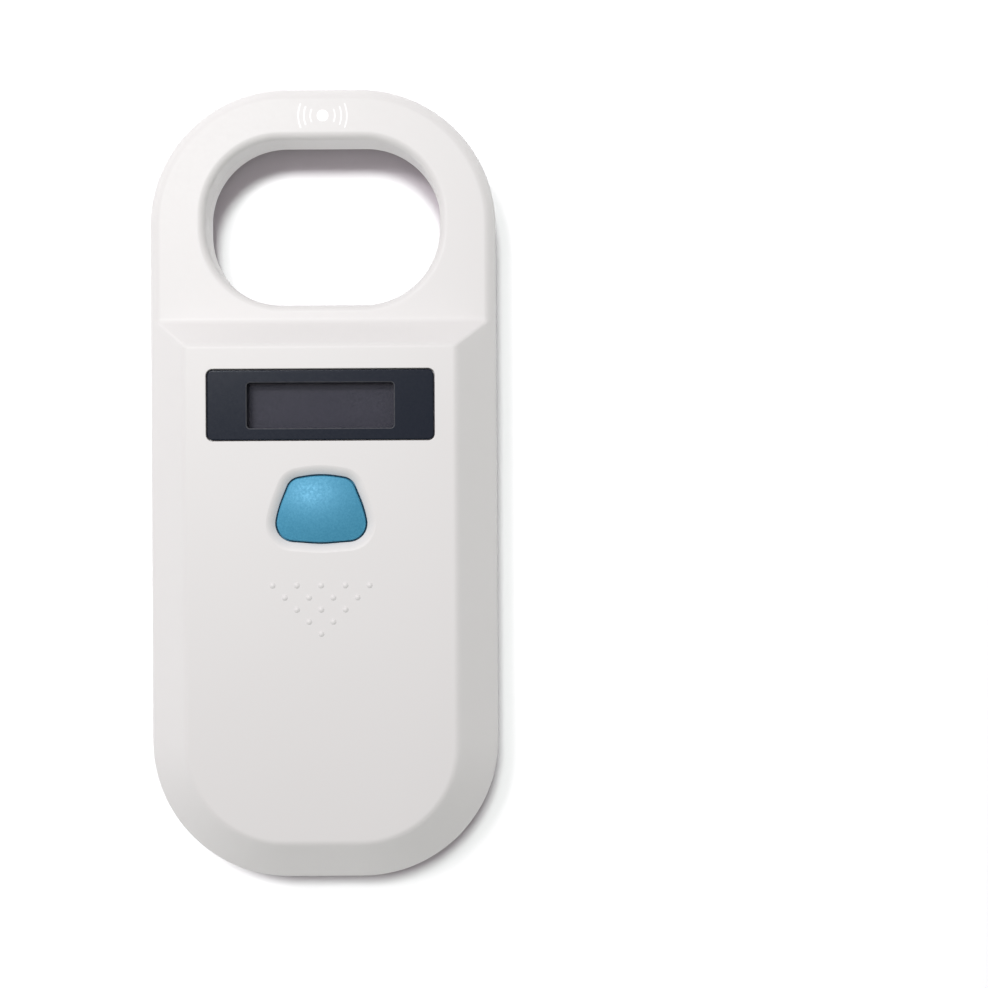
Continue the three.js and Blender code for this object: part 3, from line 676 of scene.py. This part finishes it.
def housing_outline():
    """The corners are split finely, and the sides carry stops for the cove and for the port."""
    side = [*COVE_LINES, *CREST_LINES, 40, 35, 15, 5, -5, -15, -25, -35, -42]
    lower = sorted({*PORT_STOPS, *(-x for x in PORT_STOPS)})
    sides = ([-3, 0, 3], side, lower, side)
    return round_rect(HALF_WIDTH, HALF_LENGTH, CORNER_RADIUS, steps=36, sides=sides)


HOUSING = housing_outline()
HOLE = round_rect(HOLE_HALF_WIDTH, HOLE_HALF_HEIGHT, HOLE_RADIUS, HOLE_Y, 28, ([0], [HOLE_Y], [0], [HOLE_Y]))
POCKET = round_rect(POCKET_HALF_WIDTH, POCKET_HALF_HEIGHT, POCKET_RADIUS, DISPLAY_Y)
VIEW = round_rect(VIEW_HALF_WIDTH, VIEW_HALF_HEIGHT, VIEW_RADIUS, VIEW_Y)
BUTTON = round_polygon(BUTTON_CORNERS)
LABEL = round_rect(LABEL_HALF_WIDTH, LABEL_HALF_HEIGHT, LABEL_RADIUS, LABEL_Y)
DOTS = [
    circle((i - (DOT_ROWS - row - 1) / 2) * DOT_PITCH_X, DOT_TOP_Y - row * DOT_PITCH_Y, DOT_RADIUS)
    for row in range(DOT_ROWS)
    for i in range(DOT_ROWS - row)
]
SCREW_POCKETS = [circle(x, y, SCREW_POCKET_RADIUS, 40) for x, y in CASE_SCREWS]


def port_edges(default, upwards):
    """The height of a shell's edge at each point of the outline: default, but around the port its
    outline. Returns it with a mask of the points at the port."""
    x, y = HOUSING.points.T
    at_port = (np.abs(x) <= PORT_HALF_WIDTH) & (y < -HALF_LENGTH + 1)
    past = np.clip(np.abs(x) - (PORT_HALF_WIDTH - PORT_RADIUS), 0, PORT_RADIUS)
    half = PORT_HALF_HEIGHT - PORT_RADIUS + np.sqrt(PORT_RADIUS**2 - past**2)
    if upwards:
        edge = np.where(at_port, np.maximum(default, PORT_Z + half), default)
    else:
        edge = np.where(at_port, PORT_Z - half, default)
    return edge, at_port


# ---------------------------------------------------------------- pieces of the housing


def front_lines():
    """Lines that the front face's triangles follow, so that its rounded creases come out smooth."""
    lines = []
    for inset in FOOT_INSETS:
        loop = HOUSING.at(-inset)
        lines.append(np.vstack([loop, loop[:1]]))
    for inset in TOP_INSETS:
        loop = HOUSING.at(-inset)
        lines.append(loop[loop[:, 1] < BEVEL_END_Y])
    half = HALF_WIDTH - FOOT_INSET
    lines += [np.array([[-half, y], [half, y]]) for y in COVE_LINES + CREST_LINES]
    corner_y = np.arange(COVE_LINES[0], CREST_LINES[-1], -CORNER_STEP)
    corner_inset = (cove_height(corner_y) - BEVEL_FOOT_Z) / BEVEL_SLOPE
    for shift in CORNER_SHIFTS:
        for side in (-1, 1):
            x = side * (HALF_WIDTH - corner_inset - shift)
            lines.append(np.column_stack([x, corner_y]))
    return lines


def dish_rows():
    rows = []
    for step in range(9):
        share = step / 8
        drop = DISH_DEPTH * (0.25 * share + 0.75 * share**2)
        slope = DISH_DEPTH / DISH_WIDTH * (0.25 + 1.5 * share)
        tilt = 90 + math.degrees(math.atan(slope))
        rows.append((BUTTON_GAP + DISH_WIDTH * (1 - share), THICKNESS - drop, tilt))
    return rows


def dot_rows():
    ball = (DOT_RADIUS**2 + DOT_HEIGHT**2) / (2 * DOT_HEIGHT)
    start = math.degrees(math.asin((ball - DOT_HEIGHT) / ball))
    return arc(-DOT_RADIUS, THICKNESS + DOT_HEIGHT - ball, ball, start, 84, 6)


def front_shell(white):
    skin = Skin()
    skin.patch(
        HOUSING.at(-FOOT_INSET),
        holes=[
            HOLE.at(HOLE_FRONT_FILLET),
            POCKET.at(POCKET_EDGE_ROUND),
            BUTTON.at(BUTTON_GAP + DISH_WIDTH),
            *(dot.at(0) for dot in DOTS),
        ],
        lines=front_lines(),
        height=front_height,
    )
    edge, at_port = port_edges(SEAM_Z + SEAM_GAP / 2, upwards=True)
    inner = np.where(at_port, -PORT_DEPTH, -SEAM_DEPTH)
    tongue = np.where(at_port, edge, SEAM_Z - TONGUE_DROP)
    foot_z = BEVEL_FOOT_Z - FOOT_INSET / math.cos(BEVEL_ANGLE)
    bevel_tilt = 90 - math.degrees(BEVEL_ANGLE)
    skin.loft(
        HOUSING,
        arc(-FOOT_ROUND, foot_z, FOOT_ROUND, bevel_tilt, 0, 5),
        [(0, foot_z, 0), (0, edge + SEAM_CHAMFER, 0)],
        [(0, edge + SEAM_CHAMFER, -45), (-SEAM_CHAMFER, edge, -45)],
        [(-SEAM_CHAMFER, edge, -90), (inner, edge, -90)],
        [(inner, edge, 0), (inner, tongue, 0)],
    )
    hole_edge = SEAM_Z + SEAM_HAIRLINE
    skin.loft(
        HOLE,
        arc(HOLE_FRONT_FILLET, DECK_Z - HOLE_FRONT_FILLET, HOLE_FRONT_FILLET, 90, 180, 9),
        [(0, DECK_Z - HOLE_FRONT_FILLET, 180), (0, hole_edge, 180)],
        [(0, hole_edge, 270), (SEAM_DEPTH, hole_edge, 270)],
        [(SEAM_DEPTH, hole_edge, 180), (SEAM_DEPTH, SEAM_Z - TONGUE_DROP, 180)],
    )
    wall_top = THICKNESS - POCKET_EDGE_ROUND
    skin.loft(
        POCKET,
        arc(POCKET_EDGE_ROUND, wall_top, POCKET_EDGE_ROUND, 90, 180, 4),
        [(0, wall_top, 180), (0, POCKET_FLOOR_Z, 180)],
        [(0, POCKET_FLOOR_Z, 90), (-POCKET_LEDGE, POCKET_FLOOR_Z, 90)],
        [(-POCKET_LEDGE, POCKET_FLOOR_Z, 180), (-POCKET_LEDGE, POCKET_LEDGE_Z, 180)],
    )
    rows = dish_rows()
    ledge = BUTTON_GAP + BUTTON_OPENING_LEDGE
    skin.loft(
        BUTTON,
        rows,
        [(BUTTON_GAP, rows[-1][1], 180), (BUTTON_GAP, BUTTON_OPENING_Z, 180)],
        [(BUTTON_GAP, BUTTON_OPENING_Z, 270), (ledge, BUTTON_OPENING_Z, 270)],
    )
    for dot in DOTS:
        skin.loft(dot, dot_rows(), close=True)
    return skin.make("housing_front", "housing", white, "front_shell", slot="white_abs")


def rear_shell(white):
    skin = Skin()
    edge, at_port = port_edges(SEAM_Z - SEAM_GAP / 2, upwards=False)
    inner = np.where(at_port, -PORT_DEPTH, -SEAM_DEPTH + REBATE_CLEARANCE)
    rebate = np.where(at_port, edge, SEAM_Z - REBATE_DROP)
    skin.loft(
        HOUSING,
        [(inner, rebate, 180), (inner, edge, 180)],
        [(inner, edge, 90), (-SEAM_CHAMFER, edge, 90)],
        [(-SEAM_CHAMFER, edge, 45), (0, edge - SEAM_CHAMFER, 45)],
        [(0, edge - SEAM_CHAMFER, 0), (0, BACK_FILLET, 0)],
        arc(-BACK_FILLET, BACK_FILLET, BACK_FILLET, 0, -90, 12),
    )
    hole_edge = SEAM_Z - SEAM_HAIRLINE
    hole_inner = SEAM_DEPTH - REBATE_CLEARANCE
    skin.loft(
        HOLE,
        [(hole_inner, SEAM_Z - REBATE_DROP, 0), (hole_inner, hole_edge, 0)],
        [(hole_inner, hole_edge, 90), (0, hole_edge, 90)],
        [(0, hole_edge, 180), (0, HOLE_BACK_FILLET, 180)],
        arc(HOLE_BACK_FILLET, HOLE_BACK_FILLET, HOLE_BACK_FILLET, 180, 270, 12),
    )
    chamfer = SCREW_POCKET_CHAMFER
    skin.patch(
        HOUSING.at(-BACK_FILLET),
        holes=[
            HOLE.at(HOLE_BACK_FILLET),
            LABEL.at(LABEL_CLEARANCE),
            *(pocket.at(chamfer) for pocket in SCREW_POCKETS),
        ],
        up=-1,
    )
    skin.loft(LABEL, [(LABEL_CLEARANCE, 0, 180), (LABEL_CLEARANCE, LABEL_RECESS, 180)])
    skin.patch(LABEL.at(LABEL_CLEARANCE), z=LABEL_RECESS, up=-1)
    for pocket in SCREW_POCKETS:
        skin.loft(
            pocket,
            [(chamfer, 0, 225), (0, chamfer, 225)],
            [(0, chamfer, 180), (0, SCREW_POCKET_Z, 180)],
            [(0, SCREW_POCKET_Z, 270), (-SCREW_SEAT, SCREW_POCKET_Z, 270)],
            [(-SCREW_SEAT, SCREW_POCKET_Z, 180), (-SCREW_SEAT, SCREW_POCKET_Z + SCREW_HOLE_DEPTH, 180)],
        )
    return skin.make("housing_back", "housing", white, "rear_shell", slot="white_abs")


def ring_icon(ink):
    """The printed sign for a radio reader: a dot with three waves on either side."""
    skin = Skin()
    low, top = DECK_Z + ICON_LIFT, DECK_Z + ICON_THICKNESS
    shapes = [circle(*ICON_CENTRE, ICON_DOT_RADIUS, 40)]
    for reach, half_height in ICON_WAVES:
        for facing in (0, 180):
            shapes.append(wave(reach, half_height, facing))
    for shape in shapes:
        skin.loft(shape, [(0, low, 0), (0, top, 0)])
        skin.patch(shape.at(0), z=top)
        skin.patch(shape.at(0), z=low, up=-1)
    return skin.make("ring_icon", "housing", ink, slot="white_abs")


def wave(reach, half_height, facing, steps=14):
    """A stroke with round ends, at reach from the icon's middle and a little flatter than a circle
    about it."""
    half = ICON_STROKE / 2
    radius = 1.25 * reach
    middle = np.array(ICON_CENTRE) - (radius - reach) * compass(math.radians(facing))
    half_angle = math.degrees(math.asin(half_height / radius))
    points, normals = [], []

    def run(centre, away, start, stop, count, sign=1):
        for i in range(count + 1):
            way = compass(math.radians(start + (stop - start) * i / count))
            points.append(centre + away * way)
            normals.append(sign * way)

    low, high = facing - half_angle, facing + half_angle
    run(middle, radius + half, low, high, steps)
    run(middle + radius * compass(math.radians(high)), half, high, high + 180, 6)
    run(middle, radius - half, high, low, steps, -1)
    run(middle + radius * compass(math.radians(low)), half, low + 180, low + 360, 6)
    return Outline(points, normals)


# ---------------------------------------------------------------- display and button


def bezel(finishes):
    """A plate with a rounded outer edge, and a chamfer of its own finish round the view opening."""
    skin = Skin()
    low, high = BEZEL_Z
    outer, edge = -BEZEL_CLEARANCE, BEZEL_EDGE_ROUND
    chamfer_foot = high - VIEW_CHAMFER_DEPTH
    skin.patch(POCKET.at(outer - edge), holes=[VIEW.at(VIEW_CHAMFER_WIDTH)], z=high)
    skin.patch(POCKET.at(outer), holes=[VIEW.at(0)], z=low, up=-1)
    skin.loft(
        POCKET,
        arc(outer - edge, high - edge, edge, 90, 0, 5),
        [(outer, high - edge, 0), (outer, low, 0)],
    )
    skin.loft(VIEW, [(VIEW_CHAMFER_WIDTH, high, 125), (0, chamfer_foot, 145)], finish=1)
    skin.loft(VIEW, [(0, chamfer_foot, 180), (0, low, 180)])
    return skin.make("bezel_plate", "housing", finishes, "display_bezel", slot="black_plastic")


def scan_button(blue):
    """Side wall, rounded edge, dome and flange; the dome's rings shrink towards its middle."""
    skin = Skin()
    edge = BUTTON_EDGE_ROUND
    rim = button_height(*BUTTON.at(-edge).T)
    flange_low, flange_high = BUTTON_FLANGE_Z
    skin.loft(BUTTON, [(0, flange_high, 0), (0, rim - edge, 0)])
    rounding = []
    for tilt in (0, 20, 40, 60, 78):
        lean = math.radians(tilt)
        grow, lift = -edge + edge * math.cos(lean), edge * (math.sin(lean) - 1)
        rounding.append((grow, rim + lift, tilt))
    rings = [ring(BUTTON, *row) for row in rounding]
    inner = BUTTON.at(-edge)
    middle = np.array([0, BUTTON_CENTRE_Y])
    for scale in (1, 0.97, 0.93, 0.86, 0.76, 0.64, 0.5, 0.35, 0.18, 0.06):
        flat = middle + (inner - middle) * scale
        heights = button_height(*flat.T)
        rings.append((np.column_stack([flat, heights]), slope_normals(button_height, flat)))
    skin.rings(rings, close=True)
    skin.loft(
        BUTTON,
        [(0, flange_high, 90), (BUTTON_FLANGE, flange_high, 90)],
        [(BUTTON_FLANGE, flange_high, 0), (BUTTON_FLANGE, flange_low, 0)],
    )
    skin.patch(BUTTON.at(BUTTON_FLANGE), z=flange_low, up=-1)
    return skin.make("button_cap", "button", blue, "scan_button", slot="blue_abs")


# ---------------------------------------------------------------- finishes of the CAD nodes


def dress(material, *names):
    for name in names:
        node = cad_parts[name]
        node.data.materials.clear()
        node.data.materials.append(material)


def dress_inner_parts():
    black = satin_plastic("black_plastic", (0.018, 0.019, 0.022), (0.03, 0.031, 0.035))
    resin = satin_plastic("chip_resin", (0.014, 0.014, 0.015), (0.024, 0.024, 0.026), (0.5, 0.65), 0.08)
    nylon = satin_plastic("nylon", (0.68, 0.62, 0.47), (0.78, 0.73, 0.58))
    red = satin_plastic("red_plastic", (0.36, 0.02, 0.015), (0.5, 0.035, 0.025), (0.25, 0.35))
    wire = satin_plastic("black_wire", (0.012, 0.012, 0.013), (0.022, 0.022, 0.024), (0.3, 0.4))
    soft, board, steel = foam(), board_green(), plated_steel()
    copper, foil = copper_wire(), foil_pouch()
    dress(clear_acrylic(), "display_lens")
    dress(panel_glass(), "oled_panel")
    dress(soft, "display_gasket", "oled_foam_pad", "battery_tape")
    dress(amber_film(), "oled_flex_cable")
    dress(black, "switch_plunger", "switch_base", "buzzer", "usb_tongue", "coil_former")
    dress(board, "main_board", "radio_board", "cell_guard_board")
    dress(resin, "controller_chip", "reader_chip", "memory_chip", "charger_chip", "radio_chip")
    dress(resin, "power_inductor")
    dress(steel, "switch_cover", "crystal", "usb_shell")
    dress(steel, *(f"board_screw_{i}" for i in range(1, 5)), *(f"case_screw_{i}" for i in range(1, 5)))
    dress(red, "tuning_capacitor", "battery_wire_red")
    dress(wire, "battery_wire_black")
    dress(foil, "bulk_capacitor", "battery_cell")
    dress(nylon, "battery_plug", "battery_header")
    dress(copper, "reader_coil", "coil_lead_left", "coil_lead_right")
    dress(label_film(), "rating_label")


# ---------------------------------------------------------------- table, light and camera


def table():
    mesh = bpy.data.meshes.new("table")
    half = TABLE_HALF_WIDTH
    corners = [(-half, -half, 0), (half, -half, 0), (half, half, 0), (-half, half, 0)]
    mesh.from_pydata(corners, [], [(0, 1, 2, 3)])
    mesh.materials.append(table_top())
    floor = bpy.data.objects.new("table", mesh)
    bpy.context.scene.collection.objects.link(floor)
    return floor


def lamp(kind, name, place, aim, power):
    """A lamp at place that faces aim, both in metres."""
    light = bpy.data.lights.new(name, kind)
    light.energy = power
    lit = bpy.data.objects.new(name, light)
    lit.location = place
    lit.rotation_euler = (Vector(place) - Vector(aim)).to_track_quat("Z", "Y").to_euler()
    bpy.context.scene.collection.objects.link(lit)
    return lit


def studio(floor):
    """A bright room, a softbox up by the ring, and a wash that whitens the table alone."""
    bpy.context.scene.view_settings.view_transform = "Standard"
    bpy.context.scene.world = room()
    key = lamp("AREA", "key", KEY_PLACE, KEY_AIM, KEY_POWER)
    key.data.size = KEY_SIZE
    key.data.spread = KEY_SPREAD
    wash = lamp("SUN", "wash", WASH_PLACE, (0, 0, 0), WASH_STRENGTH)
    wash.data.color = WASH_COLOUR
    wash.data.angle = WASH_ANGLE
    table_only = bpy.data.collections.new("table_only")
    table_only.objects.link(floor)
    wash.light_linking.receiver_collection = table_only


def room():
    """Light from all round, brighter overhead and towards the ring. It lights every surface alike from
    any view; only what the camera sees beyond the table is a plain pale wall instead."""
    world = bpy.data.worlds.new("room")
    world.use_nodes = True
    tree = world.node_tree
    place = tree.nodes.new("ShaderNodeTexCoord")
    lean = tree.nodes.new("ShaderNodeVectorMath")
    lean.operation = "DOT_PRODUCT"
    lean.inputs[1].default_value = ROOM_LEAN
    level = tree.nodes.new("ShaderNodeMath")
    level.inputs[1].default_value = ROOM_LEVEL
    back = tree.nodes["Background"]
    tint = tree.nodes.new("ShaderNodeValToRGB")
    for element, (position, shade) in zip(tint.color_ramp.elements, ROOM_TINTS):
        element.position = position
        element.color = shade
    tree.links.new(place.outputs["Generated"], lean.inputs[0])
    tree.links.new(lean.outputs["Value"], level.inputs[0])
    tree.links.new(level.outputs["Value"], back.inputs["Strength"])
    tree.links.new(level.outputs["Value"], tint.inputs["Fac"])
    tree.links.new(tint.outputs["Color"], back.inputs["Color"])
    wall = tree.nodes.new("ShaderNodeBackground")
    wall.inputs["Color"].default_value = WALL_COLOUR
    seen = tree.nodes.new("ShaderNodeMixShader")
    ray = tree.nodes.new("ShaderNodeLightPath")
    tree.links.new(ray.outputs["Is Camera Ray"], seen.inputs["Fac"])
    tree.links.new(back.outputs["Background"], seen.inputs[1])
    tree.links.new(wall.outputs["Background"], seen.inputs[2])
    tree.links.new(seen.outputs["Shader"], tree.nodes["World Output"].inputs["Surface"])
    return world


def camera():
    """Straight down, over a point to the right of the scanner."""
    data = bpy.data.cameras.new("camera")
    data.lens = CAMERA_LENS
    data.sensor_width = CAMERA_SENSOR
    data.clip_start = 0.01
    eye = bpy.data.objects.new("camera", data)
    eye.location = CAMERA_PLACE
    eye.rotation_euler = (0, 0, CAMERA_ROLL)
    bpy.context.scene.collection.objects.link(eye)
    bpy.context.scene.camera = eye


white = white_abs()
front_shell(white)
rear_shell(white)
ring_icon(print_white())
bezel([bezel_black(), cut_edge()])
scan_button(blue_abs())
dress_inner_parts()
studio(table())
camera()
